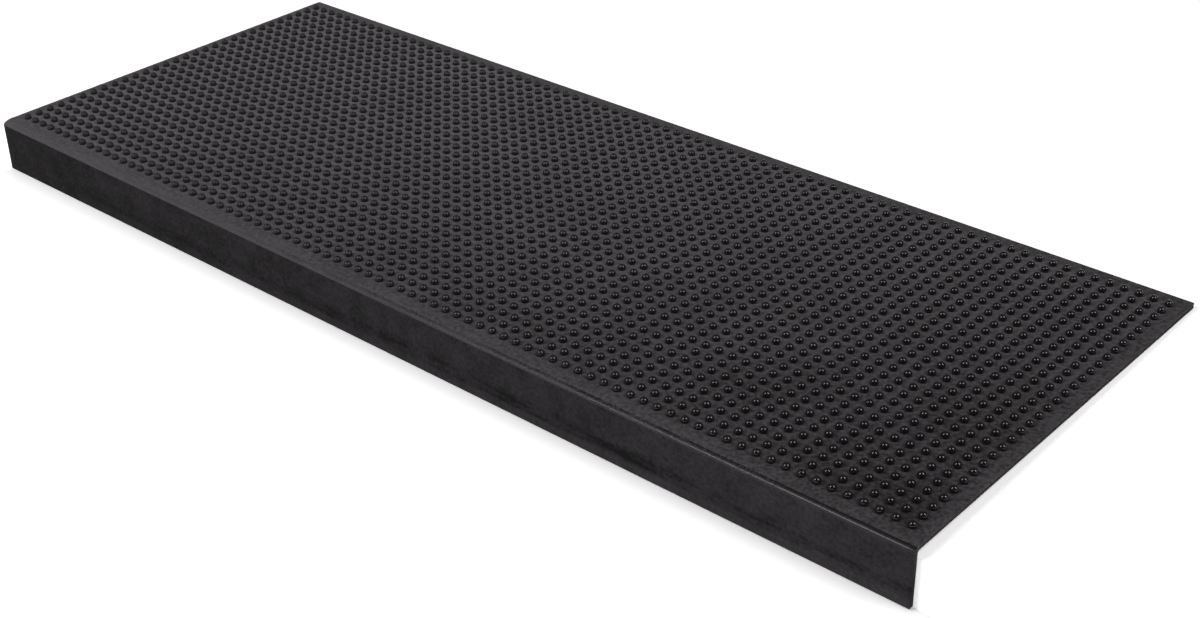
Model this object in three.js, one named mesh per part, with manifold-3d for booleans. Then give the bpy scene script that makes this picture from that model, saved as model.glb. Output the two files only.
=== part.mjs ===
// Anti slip mat for one stair tread, moulded in one piece of black rubber.
// A thin sheet covers the tread and turns down over the step's edge as a lip.
// A square field of small nubs stands on the sheet.
//
// Millimetres. +X runs along the step's edge, +Y from that edge to the back of
// the tread, +Z is up. The origin is the middle of the face that lies on the tread.

import * as THREE from "three";
import { mergeVertices } from "three/addons/utils/BufferGeometryUtils.js";
import Module from "manifold-3d";

// Overall form
const matWidth = 650;
const matDepth = 255;
const lipHeight = 32;

// Sheet
const sheetThickness = 2.5;
const insideBendRadius = 1;
const edgeRadius = 0.7;
const backCornerRadius = 2;
const lipCornerRadius = 1;

// Nose, where the tread eases down over a wide shoulder to a tight corner
const shoulderRadius = 10;
const shoulderAngle = Math.PI / 6;
const noseCornerRadius = 1.5;

// Nub field, and the plain margins between its outer cells and the nose, the side
// edges and the back edge
const nubPitch = 8;
const nubHeight = 3;
const noseMargin = 2.25;
const sideMargin = 5;
const backMargin = 7;

// How finely round stretches are cut, and how far cutting tools reach past the mat
const arcSteps = 3;
const toolOverhang = 10;

const frontY = -matDepth / 2;
const backY = matDepth / 2;
const topZ = sheetThickness;
const lipBottomZ = topZ - lipHeight;
const noseLength = shoulderRadius * Math.sin(shoulderAngle)
  + noseCornerRadius * (1 - Math.sin(shoulderAngle));

const wasm = await Module();
wasm.setup();

// Closed three.js geometry to a solid that can be joined and cut.
function solidFrom(geometry) {
  const bare = geometry.clone();
  bare.deleteAttribute("normal");
  bare.deleteAttribute("uv");
  const merged = mergeVertices(bare, 1e-4);
  return new wasm.Manifold(new wasm.Mesh({
    numProp: 3,
    vertProperties: new Float32Array(merged.attributes.position.array),
    triVerts: new Uint32Array(merged.index.array),
  }));
}

// Solid back to a three.js geometry.
function geometryFrom(solid) {
  const mesh = solid.getMesh();
  const geometry = new THREE.BufferGeometry();
  geometry.setAttribute("position", new THREE.BufferAttribute(mesh.vertProperties, 3));
  geometry.setIndex(new THREE.BufferAttribute(mesh.triVerts, 1));
  return geometry;
}

// Extrudes an outline and turns it so that the outline's axes and the extrusion
// run along the three given directions, starting at the given distance.
function extruded(outline, length, across, up, along, start) {
  const geometry = new THREE.ExtrudeGeometry(outline, {
    depth: length,
    bevelEnabled: false,
    curveSegments: arcSteps,
  });
  geometry.translate(0, 0, start);
  geometry.applyMatrix4(new THREE.Matrix4().makeBasis(across, up, along));
  return solidFrom(geometry);
}

const axisX = new THREE.Vector3(1, 0, 0);
const axisY = new THREE.Vector3(0, 1, 0);
const axisZ = new THREE.Vector3(0, 0, 1);

// The sheet's section, the same all along the step's edge: a flat tread, the nose's
// shoulder and corner, and a straight lip with a rounded lower edge.
function sheetSection() {
  const quarterTurn = Math.PI / 2;
  const edge = Math.min(edgeRadius, 0.45 * sheetThickness);
  const lipBackY = frontY + sheetThickness;
  const noseCornerZ = topZ
    - shoulderRadius * (1 - Math.cos(shoulderAngle))
    - noseCornerRadius * Math.cos(shoulderAngle);
  const section = new THREE.Shape();
  section.moveTo(backY, 0);
  section.lineTo(backY, topZ - edge);
  section.absarc(backY - edge, topZ - edge, edge, 0, quarterTurn, false);
  section.absarc(
    frontY + noseLength, topZ - shoulderRadius,
    shoulderRadius, quarterTurn, quarterTurn + shoulderAngle, false,
  );
  section.absarc(
    frontY + noseCornerRadius, noseCornerZ,
    noseCornerRadius, quarterTurn + shoulderAngle, Math.PI, false,
  );
  section.absarc(frontY + edge, lipBottomZ + edge, edge, Math.PI, 3 * quarterTurn, false);
  section.absarc(lipBackY - edge, lipBottomZ + edge, edge, 3 * quarterTurn, 4 * quarterTurn, false);
  section.absarc(
    lipBackY + insideBendRadius, -insideBendRadius,
    insideBendRadius, Math.PI, quarterTurn, true,
  );
  section.closePath();
  return section;
}

// A rectangle on the mat's full width, with all its corners rounded.
function roundedOutline(low, high, radius) {
  const half = matWidth / 2;
  const outline = new THREE.Shape();
  outline.absarc(half - radius, low + radius, radius, -Math.PI / 2, 0, false);
  outline.absarc(half - radius, high - radius, radius, 0, Math.PI / 2, false);
  outline.absarc(-half + radius, high - radius, radius, Math.PI / 2, Math.PI, false);
  outline.absarc(-half + radius, low + radius, radius, Math.PI, 1.5 * Math.PI, false);
  outline.closePath();
  return outline;
}

// The bent sheet, with the tread's back corners rounded in plan and the lip's
// lower corners rounded in front view. Each outline's other two corners lie past
// the mat and cut nothing.
function bentSheet() {
  const strip = extruded(
    sheetSection(), matWidth + 2 * toolOverhang,
    axisY, axisZ, axisX, -matWidth / 2 - toolOverhang,
  );
  const plan = extruded(
    roundedOutline(frontY - toolOverhang, backY, backCornerRadius),
    lipHeight + 2 * toolOverhang, axisX, axisY, axisZ, lipBottomZ - toolOverhang,
  );
  const front = extruded(
    roundedOutline(lipBottomZ, topZ + toolOverhang, lipCornerRadius),
    matDepth + 2 * toolOverhang, axisX, axisZ, axisY.clone().negate(), -backY - toolOverhang,
  );
  return strip.intersect(plan).intersect(front);
}

// How many nub cells fit on a length.
function cellsAlong(length) {
  return Math.floor(length / nubPitch + 1e-6);
}

// The nub field as one solid. Each nub is a four-sided point on its own square
// cell, and the cells share the corners that lie on the sheet's upper face.
// The underside of the field is sunk to the middle of the sheet.
function nubField() {
  const columns = cellsAlong(matWidth - 2 * sideMargin);
  const rows = cellsAlong(matDepth - noseLength - noseMargin - backMargin);
  const startX = -columns * nubPitch / 2;
  const startY = frontY + noseLength + noseMargin;
  const positions = [];
  const triangles = [];

  function addPoint(x, y, z) {
    positions.push(x, y, z);
    return positions.length / 3 - 1;
  }

  const corners = [];
  for (let row = 0; row <= rows; row += 1) {
    corners.push([]);
    for (let column = 0; column <= columns; column += 1) {
      corners[row].push(addPoint(startX + column * nubPitch, startY + row * nubPitch, topZ));
    }
  }

  for (let row = 0; row < rows; row += 1) {
    for (let column = 0; column < columns; column += 1) {
      const tip = addPoint(
        startX + (column + 0.5) * nubPitch,
        startY + (row + 0.5) * nubPitch,
        topZ + nubHeight,
      );
      const cell = [
        corners[row][column], corners[row][column + 1],
        corners[row + 1][column + 1], corners[row + 1][column],
      ];
      cell.forEach((corner, side) => triangles.push(corner, cell[(side + 1) % 4], tip));
    }
  }

  // Rim corners in order round the field, seen from above.
  const rim = [];
  for (let column = 0; column < columns; column += 1) rim.push(corners[0][column]);
  for (let row = 0; row < rows; row += 1) rim.push(corners[row][columns]);
  for (let column = columns; column > 0; column -= 1) rim.push(corners[rows][column]);
  for (let row = rows; row > 0; row -= 1) rim.push(corners[row][0]);

  // Below the rim the field tapers to one point in the middle of the sheet.
  const keel = addPoint(0, 0, topZ - sheetThickness / 2);
  rim.forEach((corner, place) => triangles.push(rim[(place + 1) % rim.length], corner, keel));

  const geometry = new THREE.BufferGeometry();
  geometry.setAttribute("position", new THREE.Float32BufferAttribute(positions, 3));
  geometry.setIndex(triangles);
  return solidFrom(geometry);
}

const blackRubber = new THREE.MeshStandardMaterial({
  color: 0x2c2b2c,
  roughness: 0.55,
  metalness: 0,
});

const treadMat = new THREE.Mesh(geometryFrom(bentSheet().add(nubField())), blackRubber);
treadMat.name = "tread_mat";

const mat = new THREE.Group();
mat.add(treadMat);

export default mat;
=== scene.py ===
# %% [markdown]
# # A rubber mat for a stair tread
#
# The object is one moulding of black rubber: a thin sheet, 2,400 small nubs that
# stand on it for grip, and a lip that turns down over the edge of the step.
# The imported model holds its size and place. This lesson makes the surface that the
# eye sees: round nubs, a tight nose, and four finishes of one rubber.

# %% Load the frame
import math

import bpy
import numpy as np
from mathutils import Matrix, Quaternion, Vector


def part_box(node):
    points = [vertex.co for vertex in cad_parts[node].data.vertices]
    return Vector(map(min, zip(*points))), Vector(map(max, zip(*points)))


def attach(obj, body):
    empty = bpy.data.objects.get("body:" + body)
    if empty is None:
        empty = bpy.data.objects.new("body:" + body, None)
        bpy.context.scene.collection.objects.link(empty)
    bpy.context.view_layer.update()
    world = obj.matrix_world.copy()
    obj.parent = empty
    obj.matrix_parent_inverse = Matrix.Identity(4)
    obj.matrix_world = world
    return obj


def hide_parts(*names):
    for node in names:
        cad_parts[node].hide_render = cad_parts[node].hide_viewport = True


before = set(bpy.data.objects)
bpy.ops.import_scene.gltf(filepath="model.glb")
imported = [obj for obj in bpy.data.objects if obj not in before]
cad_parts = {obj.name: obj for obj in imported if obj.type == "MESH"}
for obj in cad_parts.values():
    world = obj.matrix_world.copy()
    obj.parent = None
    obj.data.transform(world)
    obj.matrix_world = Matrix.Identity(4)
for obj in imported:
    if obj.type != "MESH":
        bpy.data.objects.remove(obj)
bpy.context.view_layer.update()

mat_low, mat_high = (np.array(corner) * 1000 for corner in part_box("tread_mat"))
print("mat in millimetres, low corner", mat_low.round(2), "high corner", mat_high.round(2))

# %% [markdown]
# ## Sizes
#
# All lengths are in millimetres until a mesh is written. The outer sizes come from
# the frame. The few that it doesn't hold are those of the moulding itself: how thick
# the sheet is, how round its edges are, and how far apart the nubs stand. They could
# be typed in where they are used, but with names they can be changed in one place.

# %% Sizes of the moulding
sheet_thickness = 2.5
shoulder_radius = 10.0
shoulder_degrees = 30
nose_corner_radius = 1.5
bend_inside_radius = 1.0
edge_radius = 0.7
back_corner_radius = 2.0
lip_corner_radius = 1.0
end_bevel = 0.25

nub_pitch = 8.0
nose_margin = 2.25
side_margin = 5.0
back_margin = 7.0
nub_height = 3.0
nub_radius = 2.15
nub_foot_radius = 1.95

half_width = mat_high[0]
front, back = mat_low[1], mat_high[1]
sheet_top = mat_high[2] - nub_height
sheet_under = sheet_top - sheet_thickness
lip_bottom = mat_low[2]
lip_back = front + sheet_thickness
print("sheet's upper face at", round(sheet_top, 2), "and lip's lower edge at",
      round(lip_bottom, 2), "millimetres")

# %% Place of the nose and of the nub field
shoulder_sine = math.sin(math.radians(shoulder_degrees))
shoulder_cosine = math.cos(math.radians(shoulder_degrees))
nose_length = shoulder_radius * shoulder_sine + nose_corner_radius * (1 - shoulder_sine)
nose_corner_z = (sheet_top - shoulder_radius * (1 - shoulder_cosine)
                 - nose_corner_radius * shoulder_cosine)

field_front = front + nose_length + nose_margin
nub_columns = int(round((2 * half_width - 2 * side_margin) / nub_pitch))
nub_rows = int(round((back - back_margin - field_front) / nub_pitch))
field_x = (np.arange(nub_columns + 1) - nub_columns / 2) * nub_pitch
field_y = field_front + np.arange(nub_rows + 1) * nub_pitch
print("nubs:", nub_columns, "columns of", nub_rows)

# %% [markdown]
# ## The sheet's section
#
# Cut across, the mat is a bent strip: flat on the tread, round at the nose, straight
# down the lip. Such a form could be a curve with a bevel, but then no row of its
# mesh would meet the nub field. So the section is a closed loop of points worked out
# here, and each stretch of it has rows where something needs them: at every row of
# nubs, close together on the bends, and close together where a corner rounds off.


# %% Arcs and single rows
def arc(centre_y, centre_z, radius, start, stop, steps):
    """Points on a circle: the centre plus the radius times cosine and sine, while the
    angle goes from start to stop degrees in equal steps."""
    angle = np.radians(np.linspace(start, stop, steps + 1))
    return np.stack([centre_y + radius * np.cos(angle), centre_z + radius * np.sin(angle)], axis=1)


def straight(points):
    """Points given one by one, as an array of (y, z) rows."""
    return np.array(points, dtype=float)


print("a quarter circle of radius 1:", arc(0, 0, 1, 0, 90, 2).round(3).tolist())

# %% Rows that the mesh needs
# Where a round corner shortens the rows, they stand at these angles of its quarter circle.
corner_row_degrees = [90, 60, 40, 20]
corner_depths = 1 - np.cos(np.radians(corner_row_degrees))
back_rows = [back - depth for depth in back_corner_radius * corner_depths]
lip_rows = [lip_bottom + depth for depth in lip_corner_radius * corner_depths
            if depth > edge_radius]

# A few rows on the plain faces keep them from being long slivers.
underside_rows = (100, 50, 0, -50, -100)
lip_rear_row = -12
lip_front_rows = [-20, -14, -8]

nose_corner_steps, shoulder_steps = 5, 6
back_edge_steps, inner_bend_steps, lip_edge_steps = 4, 4, 3
print("rows at the back corners:", np.round(back_rows, 2).tolist())

# %% Section of the sheet
nose = np.concatenate([
    arc(front + nose_corner_radius, nose_corner_z, nose_corner_radius,
        180, 90 + shoulder_degrees, nose_corner_steps),
    arc(front + nose_length, sheet_top - shoulder_radius, shoulder_radius,
        90 + shoulder_degrees, 90, shoulder_steps)[1:],
])
tread_top = np.stack([field_y, np.full_like(field_y, sheet_top)], axis=1)
back_edge = np.concatenate([
    straight([[y, sheet_top] for y in back_rows if y < back - edge_radius]),
    arc(back - edge_radius, sheet_top - edge_radius, edge_radius, 90, 0, back_edge_steps),
])
underside = straight(
    [[back, sheet_under]]
    + [[y, sheet_under] for y in back_rows[::-1]]
    + [[y, sheet_under] for y in underside_rows]
)
inner_bend = arc(lip_back + bend_inside_radius, sheet_under - bend_inside_radius,
                 bend_inside_radius, 90, 180, inner_bend_steps)
lip_rear = straight([[lip_back, lip_rear_row]] + [[lip_back, z] for z in lip_rows])
lip_edge = np.concatenate([
    arc(lip_back - edge_radius, lip_bottom + edge_radius, edge_radius, 0, -90, lip_edge_steps),
    arc(front + edge_radius, lip_bottom + edge_radius, edge_radius, 270, 180, lip_edge_steps),
])
lip_front = straight([[front, z] for z in lip_rows[::-1] + lip_front_rows])

stretches = [nose, tread_top, back_edge, underside, inner_bend, lip_rear, lip_edge, lip_front]
NOSE, TREAD, _, _, _, _, LIP_EDGE, LIP_FRONT = range(len(stretches))
section = np.concatenate(stretches)
stretch_of_row = np.repeat(np.arange(len(stretches)), [len(s) for s in stretches])
print("section rows:", len(section))

# %% [markdown]
# ## The strip
#
# The section is carried along the step's edge on a grid of columns, one at each gap
# between nubs. At each end the last four columns draw the section in a little, which
# rounds the cut edge, and where the mat's corners are round, a row ends sooner. A Bevel
# modifier could round the ends too, but it would also cut the rows that the nubs need.


# %% How rows end
def inward_normals(loop):
    """Each point's unit normal into the strip: the chord between its neighbours, turned a
    quarter turn."""
    chord = np.roll(loop, -1, axis=0) - np.roll(loop, 1, axis=0)
    chord /= np.linalg.norm(chord, axis=1, keepdims=True)
    return np.stack([chord[:, 1], -chord[:, 0]], axis=1)


def drawn_in(past, radius):
    """How far a quarter circle draws an end in: the radius less the root of the radius
    squared less the square of how far the row has gone past the circle's centre."""
    past = np.clip(past, 0, radius)
    return radius - np.sqrt(radius**2 - past**2)


def row_half_width(loop):
    """Half the mat's width at each row, less what the two kinds of round corner take."""
    at_back = drawn_in(loop[:, 0] - (back - back_corner_radius), back_corner_radius)
    at_bottom = drawn_in((lip_bottom + lip_corner_radius) - loop[:, 1], lip_corner_radius)
    return half_width - np.maximum(at_back, at_bottom)


inside = inward_normals(section)
widths = row_half_width(section)
print("rows are", widths.min().round(2), "to", widths.max().round(2), "millimetres long each way")

# %% Carry the section along the mat
bevel_angle = np.radians([0, 30, 60, 90])
bevel_inset = end_bevel * (1 - np.sin(bevel_angle))
bevel_from_end = end_bevel * (1 - np.cos(bevel_angle))
rows = len(section)


def end_columns(side):
    """The columns at one end, from the end inwards: x is the row's half width less the
    column's distance from the end, and the section is drawn in by the bevel's inset."""
    x = side * (widths[:, None] - bevel_from_end[None, :])
    yz = section[:, None, :] + inside[:, None, :] * bevel_inset[None, :, None]
    return np.concatenate([x[:, :, None], yz], axis=2)


middle = np.zeros((rows, len(field_x), 3))
middle[:, :, 0] = field_x
middle[:, :, 1:] = section[:, None, :]
strip = np.concatenate([end_columns(-1), middle, end_columns(1)[:, ::-1]], axis=1)
columns = strip.shape[1]
print("strip grid:", rows, "rows by", columns, "columns")

# %% [markdown]
# ## One nub
#
# A nub is a short pin with a full, rounded top, a good 4 mm across and 3 mm tall. It
# could be a small sphere copied over the sheet, but 2,400 loose spheres aren't a
# moulding. So the ring at its foot is joined to the four corners of its square cell,
# and sheet and nubs are one closed skin. It is repeated so often that it has only a
# few dozen faces: nine sides, a slightly tapered foot, two bands of the dome and a
# cap. Smooth shading does the rest.

# %% Points of one nub
nub_sides = 9
dome_latitudes = np.radians([0, 35, 65])
dome_start = 0.95
dome_fullness = 0.85

# The dome's radius is the nub's times the cosine of the latitude to the power fullness,
# and its height rises with the sine. A fullness of 1 would be an ellipse.
dome_radius = nub_radius * np.cos(dome_latitudes)**dome_fullness
dome_height = dome_start + (nub_height - dome_start) * np.sin(dome_latitudes)
ring_radius = np.concatenate([[nub_foot_radius], dome_radius])
ring_height = np.concatenate([[0.0], dome_height])
ring_angle = np.arange(nub_sides) * 2 * math.pi / nub_sides

ring_points = np.stack([
    ring_radius[:, None] * np.cos(ring_angle),
    ring_radius[:, None] * np.sin(ring_angle),
    np.broadcast_to(ring_height[:, None], (len(ring_radius), nub_sides)),
], axis=2).reshape(-1, 3)
nub_points = np.concatenate([ring_points, [[0, 0, nub_height]]])
nub_tip = len(ring_points)
print("rings at", ring_height.round(2).tolist(), "with radii", ring_radius.round(2).tolist())

# %% Faces of one nub and its cell
side = np.arange(nub_sides)
next_side = (side + 1) % nub_sides
band = np.arange(len(ring_radius) - 1)[:, None] * nub_sides
nub_quads = np.stack([
    band + side, band + next_side, band + nub_sides + next_side, band + nub_sides + side,
], axis=2).reshape(-1, 4)
last_ring = (len(ring_radius) - 1) * nub_sides
nub_cap = np.stack([last_ring + side, last_ring + next_side, np.full(nub_sides, nub_tip)], axis=1)

# Each side of the foot ring goes to the cell corner that it faces, and where two
# sides face different corners, one more triangle closes the gap. Corners count as -1 to -4.
facing = ((side + 0.5) * 4 // nub_sides).astype(int)
turns = np.flatnonzero(facing != np.roll(facing, 1))
ring_to_corner = np.stack([next_side, side, -1 - facing], axis=1)
corner_to_corner = np.stack([-1 - np.roll(facing, 1)[turns], -1 - facing[turns], turns], axis=1)
cell_triangles = np.concatenate([ring_to_corner, corner_to_corner])
print("faces in a nub:", len(nub_quads) + len(nub_cap) + len(cell_triangles))

# %% [markdown]
# ## The whole skin
#
# In the moulding, nubs and sheet are one. A Boolean could unite them, but slowly and
# with ragged faces, so here the parts meet point by point. The strip's grid gives one
# square face between each pair of rows and columns. On the tread those squares make
# way for the nub cells, and the two ends are closed with one flat face each.
# Everything is index arithmetic on whole arrays.

# %% The strip's faces
point_index = np.arange(rows * columns).reshape(rows, columns)
below = np.roll(point_index, -1, axis=0)
strip_quads = np.stack([
    point_index[:, :-1], point_index[:, 1:], below[:, 1:], below[:, :-1],
], axis=2)

first_field_row = len(nose)
first_field_column = len(bevel_angle)
is_field = np.zeros((rows, columns - 1), dtype=bool)
is_field[first_field_row:first_field_row + nub_rows,
         first_field_column:first_field_column + nub_columns] = True

# The upper rows of the shoulder have the tread's finish.
plain_shoulder_rows = 5
quad_stretch = np.repeat(stretch_of_row[:, None], columns - 1, axis=1)
quad_stretch[first_field_row - plain_shoulder_rows:first_field_row] = TREAD

plain_quads = strip_quads[~is_field]
plain_stretch = quad_stretch[~is_field]
end_faces = np.array([point_index[:, 0], point_index[::-1, -1]])
print("plain faces:", len(plain_quads), "cells:", is_field.sum())

# %% A nub on every cell
# Corner points of every cell, in the order of the directions that they face.
cell_corners = strip_quads[is_field][:, [2, 3, 0, 1]]
cell_middle = strip.reshape(-1, 3)[cell_corners].mean(axis=1)
nubs = cell_middle[:, None, :] + nub_points[None, :, :]
nub_start = rows * columns + np.arange(len(cell_corners)) * len(nub_points)


def spread(template):
    """The template's faces on every nub: an index of 0 or more counts from the nub's first
    point, and -1 to -4 stand for the four corners of its cell."""
    own = nub_start[:, None, None] + template[None]
    corners = cell_corners[:, np.clip(-1 - template, 0, 3)]
    return np.where(template[None] >= 0, own, corners).reshape(-1, template.shape[1])


flat_triangles = spread(cell_triangles)
dome_triangles = spread(nub_cap)
dome_quads = spread(nub_quads)
points = np.concatenate([strip.reshape(-1, 3), nubs.reshape(-1, 3)]) / 1000
print("points:", len(points))

# %% [markdown]
# ## Into a Blender mesh
#
# A mesh is three flat lists: the corners of all faces in a row, where each face starts, and the
# points. bmesh could add the faces one by one, but foreach_set takes a whole array at once. Faces
# are grouped by finish: the sheet's face is matt, the nubs came out of polished bores, the nose is
# rubbed smooth along its last few millimetres, and the lip has a coarser face with painted
# reflection and painted bounce light on it.

# %% Finish of each face
TREAD_FINISH, POLISHED_FINISH, LIP_FINISH, NOSE_FINISH = range(4)
finish_of_stretch = np.full(len(stretches), TREAD_FINISH)
finish_of_stretch[[LIP_EDGE, LIP_FRONT]] = LIP_FINISH
finish_of_stretch[NOSE] = NOSE_FINISH

face_groups = [
    (plain_quads, finish_of_stretch[plain_stretch]),
    (flat_triangles, np.full(len(flat_triangles), TREAD_FINISH)),
    (dome_quads, np.full(len(dome_quads), POLISHED_FINISH)),
    (dome_triangles, np.full(len(dome_triangles), POLISHED_FINISH)),
    (end_faces, np.full(len(end_faces), LIP_FINISH)),
]
print("faces in each group:", [len(faces) for faces, _ in face_groups])


# %% Write the mesh
def write_mesh(name, points, face_groups):
    """A mesh from points and groups of faces. Each group is an array with one face a row,
    and a list with each face's finish."""
    corner_count = np.concatenate([np.full(len(faces), faces.shape[1])
                                   for faces, _ in face_groups])
    corner_points = np.concatenate([faces.ravel() for faces, _ in face_groups])
    mesh = bpy.data.meshes.new(name)
    mesh.vertices.add(len(points))
    mesh.vertices.foreach_set("co", points.astype(np.float32).ravel())
    mesh.loops.add(len(corner_points))
    mesh.loops.foreach_set("vertex_index", corner_points.astype(np.int32))
    mesh.polygons.add(len(corner_count))
    starts = np.concatenate([[0], np.cumsum(corner_count)[:-1]])
    mesh.polygons.foreach_set("loop_start", starts.astype(np.int32))
    finishes = np.concatenate([finish for _, finish in face_groups])
    mesh.polygons.foreach_set("material_index", finishes.astype(np.int32))
    mesh.update(calc_edges=True)
    mesh.validate()
    return mesh


skin_mesh = write_mesh("rubber_moulding", points, face_groups)
skin_mesh.shade_smooth()
sharp_above = math.radians(55)
skin_mesh.set_sharp_from_angle(angle=sharp_above)
print("faces in the mesh:", len(skin_mesh.polygons))


# %% Measure the mesh
def enclosed_volume(mesh):
    """A closed mesh's volume: a sixth of the sum, over its triangles, of corner one dot
    (corner two cross corner three). It is above 0 where the faces point outwards."""
    mesh.calc_loop_triangles()
    corners = np.empty(len(mesh.loop_triangles) * 3, dtype=np.int32)
    mesh.loop_triangles.foreach_get("vertices", corners)
    where = np.empty(len(mesh.vertices) * 3)
    mesh.vertices.foreach_get("co", where)
    a, b, c = where.reshape(-1, 3)[corners.reshape(-1, 3)].transpose(1, 0, 2)
    return float((a * np.cross(b, c)).sum() / 6)


print("volume in cubic centimetres:", round(enclosed_volume(skin_mesh) * 1e6, 1),
      "triangles:", len(skin_mesh.loop_triangles))

# %% Put the moulding in the frame
# It stands for the solid mat and rides on its body.
moulding = bpy.data.objects.new("rubber_moulding", skin_mesh)
bpy.context.scene.collection.objects.link(moulding)
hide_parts("tread_mat")
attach(moulding, "root")
print("pieces made:", moulding.name)

# %% [markdown]
# ## Materials
#
# The real material is natural rubber filled with carbon black. Carbon makes it nearly
# black, and its gloss depends on the face of the mould and on wear. Its parts could be
# wired by hand in the shader editor. In code, three helpers serve all the finishes: one
# turns a hex colour to Blender's linear values, one adds a node with its settings and
# links, and one turns a size in millimetres to a texture's scale.


# %% Material helpers
def linear(hex_colour):
    """sRGB hex to linear: values up to 0.04045 are divided by 12.92, the others are
    raised, after adding 0.055 and dividing by 1.055, to the power 2.4."""
    srgb = np.array([int(hex_colour[i:i + 2], 16) / 255 for i in (1, 3, 5)])
    values = np.where(srgb <= 0.04045, srgb / 12.92, ((srgb + 0.055) / 1.055) ** 2.4)
    return (*values.tolist(), 1.0)


def add_node(tree, kind, inputs=None, **settings):
    """Adds a node, sets its properties, and sets or links each input by name or number."""
    node = tree.nodes.new(kind)
    for key, value in settings.items():
        setattr(node, key, value)
    for key, value in (inputs or {}).items():
        if isinstance(value, bpy.types.NodeSocket):
            tree.links.new(value, node.inputs[key])
        else:
            node.inputs[key].default_value = value
    return node


def per_metre(millimetres):
    """The scale of a texture whose features are this many millimetres across."""
    return 1000 / millimetres


print("mid grey #808080 in linear values:", np.round(linear("#808080"), 3).tolist())

# %% [markdown]
# ### Rubber
#
# New rubber has a pale bloom, a wax that rises to its face. It is cloudy over a few centimetres and
# speckled as finely as the mould's grain. A painted picture could hold that, but it would need a
# flat map of every nub. Noise on the object's own coordinates needs none. Besides, each finish is
# painted paler towards one end of the mat: painted light, where more light falls on that end. Each
# of these adds to one share from 0 to 1, which runs the colour from carbon black to the pale colour
# and the gloss from the mould's to a dull one.

# %% Rubber
rubber_ior = 1.52
specular_tint = "#fff8fd"
# Blender's noise seldom goes past these two values.
noise_low, noise_high = 0.32, 0.68


def rubber(name, dark, bloom_and_light, painted_light_ends, cloud_mm, cloud_reach, grain_mm, grain_reach,
           grain_depth_mm, roughness_ends, specular, painted_light_marks=None):
    """Carbon black rubber. The pale colour's share is a straight run along the mat between its two
    ends, which is painted light, plus any painted light marks, plus clouds and speckle that each
    swing by their reach to both sides. Grain is a bump of the speckle."""
    material = bpy.data.materials.new(name)
    material.use_nodes = True
    tree = material.node_tree
    tree.nodes.clear()
    place = add_node(tree, "ShaderNodeTexCoord").outputs["Object"]
    clouds = add_node(tree, "ShaderNodeTexNoise", {
        "Vector": place, "Scale": per_metre(cloud_mm), "Detail": 3.0, "Roughness": 0.55,
    }).outputs["Fac"]
    speckle = add_node(tree, "ShaderNodeTexNoise", {
        "Vector": place, "Scale": per_metre(grain_mm), "Detail": 3.0, "Roughness": 0.65,
    }).outputs["Fac"]
    # Painted light: the share runs straight from one end of the mat to the other.
    share = add_node(tree, "ShaderNodeMapRange", {
        "Value": add_node(tree, "ShaderNodeSeparateXYZ", {0: place}).outputs["X"],
        "From Min": -half_width / 1000, "From Max": half_width / 1000,
        "To Min": painted_light_ends[0], "To Max": painted_light_ends[1],
    }).outputs[0]
    if painted_light_marks:
        share = add_node(tree, "ShaderNodeMath", {0: share, 1: painted_light_marks(tree, place)},
                         operation="ADD").outputs[0]
    for pattern, reach in ((clouds, cloud_reach), (speckle, grain_reach)):
        swing = add_node(tree, "ShaderNodeMapRange", {
            "Value": pattern, "From Min": noise_low, "From Max": noise_high,
            "To Min": -reach, "To Max": reach,
        }).outputs[0]
        share = add_node(tree, "ShaderNodeMath", {0: share, 1: swing}, operation="ADD").outputs[0]
    # Both of these keep the share between 0 and 1 by themselves.
    colour = add_node(tree, "ShaderNodeMix", {
        "Factor": share, "A": linear(dark), "B": linear(bloom_and_light),
    }, data_type="RGBA")
    roughness = add_node(tree, "ShaderNodeMapRange", {
        "Value": share, "To Min": roughness_ends[0], "To Max": roughness_ends[1],
    })
    grain = add_node(tree, "ShaderNodeBump", {
        "Height": speckle, "Distance": grain_depth_mm / 1000, "Strength": 1.0,
    })
    shader = add_node(tree, "ShaderNodeBsdfPrincipled", {
        "Base Color": colour.outputs["Result"],
        "Roughness": roughness.outputs[0],
        "Normal": grain.outputs[0],
        "IOR": rubber_ior,
        "Specular IOR Level": specular,
        "Specular Tint": linear(specular_tint),
    })
    add_node(tree, "ShaderNodeOutputMaterial", {"Surface": shader.outputs[0]})
    return material


print("rubber reflects", round(((rubber_ior - 1) / (rubber_ior + 1))**2 * 100, 1),
      "per cent of light that meets it square on")

# %% [markdown]
# ### Painted sheen between the nubs
#
# The sheet between the nubs is painted paler than the plain margins: a painted sheen. It grows from
# the right front of the field to the left back. A painted mask could say where, but the field's own
# sizes say it exactly.

# %% Painted sheen between the nubs
# The sheet between the nubs is painted paler here: painted sheen.
sheen_slope = (-0.62, 1.3, 0.0)
sheen_in_middle = 0.22
fade_outside, fade_inside = 1, 5

field_middle_y = (field_y[0] + field_y[-1]) / 2
field_reach = {"X": -field_x[0], "Y": (field_y[-1] - field_y[0]) / 2}


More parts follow.
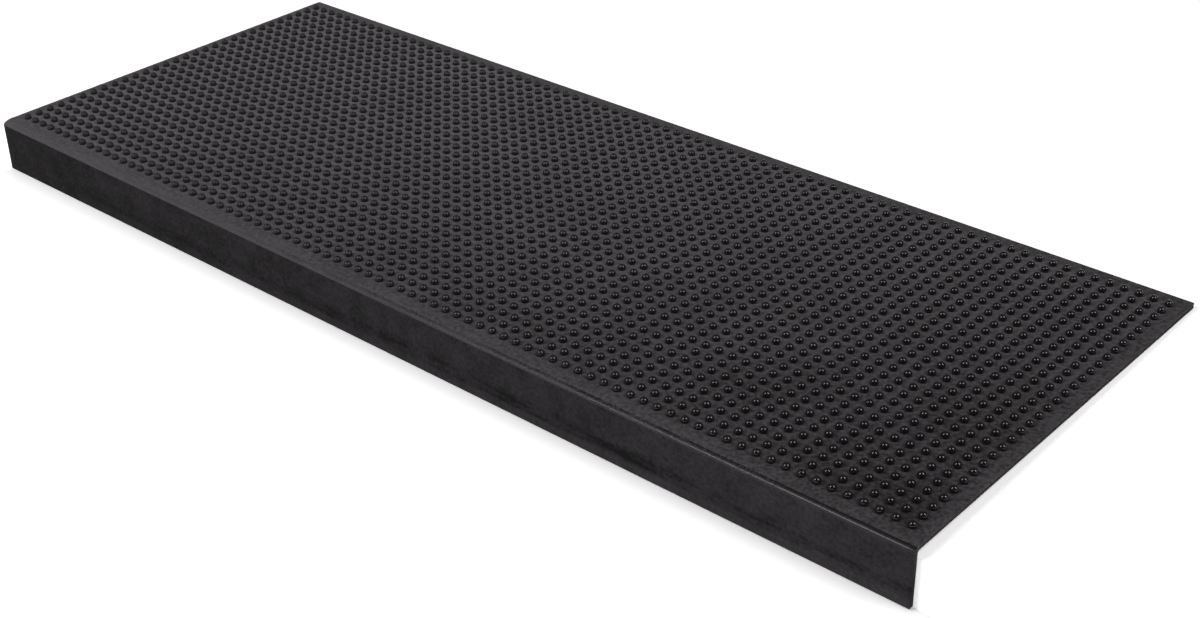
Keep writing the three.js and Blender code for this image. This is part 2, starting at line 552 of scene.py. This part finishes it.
def painted_sheen_between_nubs(tree, place):
    """The painted sheen's extra share inside the nub field: its value in the middle plus the
    place's dot product with a slope per metre, times a soft edge along each side of the field."""
    extra = add_node(tree, "ShaderNodeVectorMath", {0: place, 1: sheen_slope},
                     operation="DOT_PRODUCT").outputs["Value"]
    extra = add_node(tree, "ShaderNodeMath", {0: extra, 1: sheen_in_middle},
                     operation="ADD").outputs[0]
    from_middle = add_node(tree, "ShaderNodeVectorMath", {
        0: place, 1: (0.0, field_middle_y / 1000, 0.0),
    }, operation="SUBTRACT").outputs[0]
    split = add_node(tree, "ShaderNodeSeparateXYZ", {0: from_middle})
    for axis, reach in field_reach.items():
        size = add_node(tree, "ShaderNodeMath", {0: split.outputs[axis]}, operation="ABSOLUTE")
        in_field = add_node(tree, "ShaderNodeMapRange", {
            "Value": size.outputs[0],
            "From Min": (reach + fade_outside) / 1000, "From Max": (reach - fade_inside) / 1000,
        }, interpolation_type="SMOOTHSTEP").outputs[0]
        extra = add_node(tree, "ShaderNodeMath", {0: extra, 1: in_field},
                         operation="MULTIPLY").outputs[0]
    return extra


print("field reaches", field_reach, "millimetres from its middle")

# %% [markdown]
# ### Painted reflection and bounce light on the lip
#
# A band above the lip's lower edge is painted darker in streaks that run along the lip: a painted
# reflection. A narrow strip below it is painted paler: painted light bounced up from the floor.
# Both are plainer towards the right end. Streaks could be drawn as a wave texture, but a wave
# repeats, so they are a noise that is drawn out along the lip.

# %% Painted reflection and bounce light on the lip
streak_mm = 5
drawn_out = (0.09, 1.0, 1.0)
streak_ends = (0.42, 0.6)
# The streaks' darkness is a painted reflection, and the strip's paleness is painted bounce light
# from the floor.
dark_streak_depth = 0.5
painted_bounce_light = 0.25

# Heights above the lip's lower edge between which the band and the strip fade.
band_begins = (4, 9)
band_stops = (15, 8)
strip_stops = (6, 4)
# From this place along the mat to the second, their strength grows from the share to 1.
right_run = (-250, 100)
share_at_left = 0.25


def painted_reflections(tree, place):
    """The share that the painted dark streaks and the painted pale strip add: minus the streaks
    times the band's two soft edges, plus the strip, both times a strength that grows to the right."""
    stretched = add_node(tree, "ShaderNodeMapping", {"Vector": place, "Scale": drawn_out})
    streak = add_node(tree, "ShaderNodeTexNoise", {
        "Vector": stretched.outputs[0], "Scale": per_metre(streak_mm),
        "Detail": 4.0, "Roughness": 0.6,
    }).outputs["Fac"]
    split = add_node(tree, "ShaderNodeSeparateXYZ", {0: place})
    strength = add_node(tree, "ShaderNodeMapRange", {
        "Value": split.outputs["X"],
        "From Min": right_run[0] / 1000, "From Max": right_run[1] / 1000,
        "To Min": share_at_left,
    }).outputs[0]
    dark_streaks = add_node(tree, "ShaderNodeMapRange", {
        "Value": streak, "From Min": streak_ends[0], "From Max": streak_ends[1],
        "To Min": 0.0, "To Max": -dark_streak_depth,
    }).outputs[0]
    for start, stop in (band_begins, band_stops):
        soft_edge = add_node(tree, "ShaderNodeMapRange", {
            "Value": split.outputs["Z"],
            "From Min": (lip_bottom + start) / 1000, "From Max": (lip_bottom + stop) / 1000,
        }, interpolation_type="SMOOTHSTEP").outputs[0]
        dark_streaks = add_node(tree, "ShaderNodeMath", {0: dark_streaks, 1: soft_edge},
                         operation="MULTIPLY").outputs[0]
    pale_strip = add_node(tree, "ShaderNodeMapRange", {
        "Value": split.outputs["Z"],
        "From Min": (lip_bottom + strip_stops[0]) / 1000,
        "From Max": (lip_bottom + strip_stops[1]) / 1000, "To Max": painted_bounce_light,
    }).outputs[0]
    both = add_node(tree, "ShaderNodeMath", {0: dark_streaks, 1: pale_strip}, operation="ADD").outputs[0]
    return add_node(tree, "ShaderNodeMath", {0: both, 1: strength}, operation="MULTIPLY").outputs[0]


print("smears are about", round(streak_mm / drawn_out[0]), "millimetres long")

# %% [markdown]
# ### Four finishes
#
# It is one rubber all over, so one material with masks could do. Four are plainer to
# read and to change: each is named for how its face of the mould was made or for what
# wore it. The real grain of such moulds is 0.2 to 0.4 mm wide, which is half a pixel
# here. It is too fine to show, so every grain is drawn as coarse as it needs to show.

# %% Four finishes
# Moulded against a spark-eroded face: a soft grey sheen with no clear highlight. Its colour is
# painted paler towards the left end and between the nubs: painted light and painted sheen. Its
# grain is drawn 2 mm wide.
tread_rubber = rubber(
    "matt_moulded_rubber", dark="#242223", bloom_and_light="#6a676a", painted_light_ends=(0.52, 0.2),
    cloud_mm=60, cloud_reach=0.06, grain_mm=2.0, grain_reach=0.2, grain_depth_mm=0.04,
    roughness_ends=(0.5, 0.55), specular=0.3, painted_light_marks=painted_sheen_between_nubs,
)
# Moulded in polished bores: nearly black, with two small bright highlights on each nub at the
# right, which bloom makes dull and wide towards the left. There the colour is also painted a little
# paler: painted light. Its grain is drawn a little over 1 mm wide.
nub_rubber = rubber(
    "polished_rubber", dark="#151315", bloom_and_light="#1a171a", painted_light_ends=(0.9, 0.02),
    cloud_mm=25, cloud_reach=0.05, grain_mm=1.2, grain_reach=0.05, grain_depth_mm=0.003,
    roughness_ends=(0.1, 0.75), specular=0.5,
)
# Rubbed along the nose's corner: a thin line that catches the light, in patches, over a face that
# is darker than the tread. Towards the left end the face is painted paler: painted sheen. Its grain
# is drawn 1.5 mm wide.
nose_rubber = rubber(
    "rubbed_nose_rubber", dark="#100f10", bloom_and_light="#565256", painted_light_ends=(0.8, -0.1),
    cloud_mm=20, cloud_reach=0.1, grain_mm=1.5, grain_reach=0.25, grain_depth_mm=0.08,
    roughness_ends=(0.34, 0.95), specular=0.4,
)
# Moulded against a coarser face: dull and dark, with painted dark streaks of reflection and a
# painted pale strip of bounce light low down, and painted paler towards the right end, where more
# light falls. Its grain is drawn a little over 2 mm wide.
lip_rubber = rubber(
    "coarse_lip_rubber", dark="#1b1a1b", bloom_and_light="#4b484b", painted_light_ends=(0.1, 0.48),
    cloud_mm=14, cloud_reach=0.13, grain_mm=2.2, grain_reach=0.2, grain_depth_mm=0.05,
    roughness_ends=(0.75, 0.9), specular=0.05, painted_light_marks=painted_reflections,
)
# The order is that of the finishes' numbers in the mesh.
for material in (tread_rubber, nub_rubber, lip_rubber, nose_rubber):
    skin_mesh.materials.append(material)
print("materials:", [material.name for material in skin_mesh.materials])

# %% [markdown]
# ## The floor
#
# The mat is level, so the pale floor has a low step under it: the sheet's back edge
# rests on the upper level, and the lip's lower edge just clears the lower one. On one
# flat floor the tread would float by the height of the lip. Under the sheet the upper
# level falls away a little, which widens the soft shadow along the mat's ends.
# The floor isn't part of the object.

# %% Pale floor with a low step
floor_gap = 0.3
floor_reach = 9000
riser_y = lip_back + 0.4
upper_level = sheet_under - floor_gap
fall_under_sheet = 3.5
lower_level = lip_bottom - floor_gap

floor_profile = np.array([
    [floor_reach, upper_level], [back, upper_level], [riser_y, upper_level - fall_under_sheet],
    [riser_y, lower_level], [-floor_reach, lower_level],
])
floor_points = np.array([
    [x, y, z] for x in (-floor_reach, floor_reach) for y, z in floor_profile
]) / 1000
corners_a_side = len(floor_profile)
floor_faces = [[k, k + corners_a_side, k + corners_a_side + 1, k + 1]
               for k in range(corners_a_side - 1)]
floor_mesh = bpy.data.meshes.new("pale_floor")
floor_mesh.from_pydata(floor_points.tolist(), [], floor_faces)
floor = bpy.data.objects.new("pale_floor", floor_mesh)
bpy.context.scene.collection.objects.link(floor)
print("step in the floor:", round(upper_level - lower_level, 2), "millimetres")

# %% [markdown]
# ### Paper
#
# A photograph on white paper is exposed until the paper is white. More light would do
# that here too, but it would wash out the rubber. So the paper has a glow that only
# the camera and shiny or clear surfaces see, and it lights nothing. Near the mat the
# glow is weak enough for the shadow to show, and further off it is full white.

# %% Paper
floor_glow, riser_glow = 0.36, 0.55
# Distances from the mat's middle, in metres, between which the glow rises to 1.
glow_rises_from, glow_is_full_at = 0.5, 0.9


def paper(name, near_glow):
    """White paper. What the camera sees is its light plus a glow, which rises from the
    near glow round the mat to 1 as the distance grows."""
    material = bpy.data.materials.new(name)
    material.use_nodes = True
    tree = material.node_tree
    tree.nodes.clear()
    ray = add_node(tree, "ShaderNodeLightPath")
    camera_or_glossy = add_node(tree, "ShaderNodeMath", {
        0: ray.outputs["Is Camera Ray"], 1: ray.outputs["Is Glossy Ray"],
    }, operation="MAXIMUM")
    seen = add_node(tree, "ShaderNodeMath", {
        0: camera_or_glossy.outputs[0], 1: ray.outputs["Is Transmission Ray"],
    }, operation="MAXIMUM")
    place = add_node(tree, "ShaderNodeTexCoord").outputs["Object"]
    distance = add_node(tree, "ShaderNodeVectorMath", {0: place}, operation="LENGTH")
    glow = add_node(tree, "ShaderNodeMapRange", {
        "Value": distance.outputs["Value"],
        "From Min": glow_rises_from, "From Max": glow_is_full_at,
        "To Min": near_glow, "To Max": 1.0,
    })
    strength = add_node(tree, "ShaderNodeMath", {
        0: seen.outputs[0], 1: glow.outputs[0],
    }, operation="MULTIPLY")
    lit = add_node(tree, "ShaderNodeBsdfDiffuse", {"Color": linear("#f7f7f7")})
    white = add_node(tree, "ShaderNodeEmission", {
        "Color": linear("#ffffff"), "Strength": strength.outputs[0],
    })
    both = add_node(tree, "ShaderNodeAddShader", {0: lit.outputs[0], 1: white.outputs[0]})
    add_node(tree, "ShaderNodeOutputMaterial", {"Surface": both.outputs[0]})
    return material


floor_mesh.materials.append(paper("pale_paper", floor_glow))
floor_mesh.materials.append(paper("pale_riser_paper", riser_glow))
PAPER, RISER = range(2)
floor_mesh.polygons.foreach_set("material_index", [PAPER, PAPER, RISER, PAPER])
print("papers:", [material.name for material in floor_mesh.materials])

# %% [markdown]
# ## Camera
#
# The camera stands where the photograph was taken. It could be matched by eye, but the
# nub field is a ruler of 80 by 30 marks, so the camera's place, direction and lens were
# worked out from that.

# %% Camera
camera_place = Vector((617.1, -648.1, 464.4)) / 1000
camera_forward = Vector((-0.5696, 0.6443, -0.5104))
camera_roll_degrees = -0.96
lens_mm = 54.67
sensor_mm = 36.0
nearest_seen, furthest_seen = 0.02, 50

camera_data = bpy.data.cameras.new("camera")
camera_data.lens = lens_mm
camera_data.sensor_width = sensor_mm
camera_data.clip_start = nearest_seen
camera_data.clip_end = furthest_seen
camera = bpy.data.objects.new("camera", camera_data)
camera.location = camera_place
camera.rotation_mode = "QUATERNION"
roll = Quaternion((0, 0, 1), math.radians(camera_roll_degrees))
camera.rotation_quaternion = camera_forward.to_track_quat("-Z", "Y") @ roll
bpy.context.scene.collection.objects.link(camera)
bpy.context.scene.camera = camera
print("camera is", round(camera_place.length, 3), "metres from the origin")

# %% [markdown]
# ## Light
#
# Two tall soft lamps stand to the left and right of the camera, half way up. Each nub
# shows both of them as two small upright highlights side by side, where a single big
# lamp would show as one. The room is dim and only a little brighter beyond the mat,
# which leaves the nubs nearly black against the paler sheet. The camera sees the room
# as plain white.

# %% Lamps
lamp_distance = 3.2
lamp_width, lamp_height = 1.0, 2.2
lamp_brightness = 8


def softbox(name, towards):
    """An upright lamp in the direction towards, facing the mat. Its power is pi times its
    area times the brightness that it shows."""
    data = bpy.data.lights.new(name, "AREA")
    data.shape = "RECTANGLE"
    data.size = lamp_width
    data.size_y = lamp_height
    data.energy = math.pi * lamp_width * lamp_height * lamp_brightness
    lamp = bpy.data.objects.new(name, data)
    direction = Vector(towards).normalized()
    lamp.location = direction * lamp_distance
    lamp.rotation_mode = "QUATERNION"
    lamp.rotation_quaternion = (-direction).to_track_quat("-Z", "Y")
    bpy.context.scene.collection.objects.link(lamp)
    print(name, "stands at", [round(value, 2) for value in lamp.location])


softbox("left_lamp", (-0.375, -0.62, 0.69))
softbox("right_lamp", (0.655, 0.118, 0.737))

# %% Room
# The far side brightens as a direction turns the camera's way, and dims again as it
# rises to the ceiling. Both pairs are lengths along a direction of length 1.
far_side_ends = (-0.1, 0.5)
ceiling_ends = (0.85, 0.25)
dim_light, far_side_light = 0.06, 0.14
white_room = 1.0

world = bpy.data.worlds.new("studio_room")
world.use_nodes = True
bpy.context.scene.world = world
room = world.node_tree
room.nodes.clear()
direction = add_node(room, "ShaderNodeTexCoord").outputs["Generated"]
beyond = Vector((camera_forward.x, camera_forward.y, 0)).normalized()
along_view = add_node(room, "ShaderNodeVectorMath", {0: direction, 1: beyond},
                      operation="DOT_PRODUCT")
height = add_node(room, "ShaderNodeSeparateXYZ", {0: direction}).outputs["Z"]
far_side = add_node(room, "ShaderNodeMapRange", {
    "Value": along_view.outputs["Value"],
    "From Min": far_side_ends[0], "From Max": far_side_ends[1],
})
not_overhead = add_node(room, "ShaderNodeMapRange", {
    "Value": height, "From Min": ceiling_ends[0], "From Max": ceiling_ends[1],
})
backdrop = add_node(room, "ShaderNodeMath", {
    0: far_side.outputs[0], 1: not_overhead.outputs[0],
}, operation="MULTIPLY")
room_light = add_node(room, "ShaderNodeMapRange", {
    "Value": backdrop.outputs[0], "To Min": dim_light, "To Max": far_side_light,
})
ray = add_node(room, "ShaderNodeLightPath")
strength = add_node(room, "ShaderNodeMix", {
    "Factor": ray.outputs["Is Camera Ray"], "A": room_light.outputs[0], "B": white_room,
})
background = add_node(room, "ShaderNodeBackground", {
    "Color": linear("#ffffff"), "Strength": strength.outputs[0],
})
add_node(room, "ShaderNodeOutputWorld", {"Surface": background.outputs[0]})
print("room light from", dim_light, "to", far_side_light)

# %% [markdown]
# ## Finish
#
# Colours are shown plainly, with the Standard view transform. A filmic one would be softer in the
# highlights, but it would change the colours that were matched.

# %% Finish
bpy.context.scene.view_settings.view_transform = "Standard"
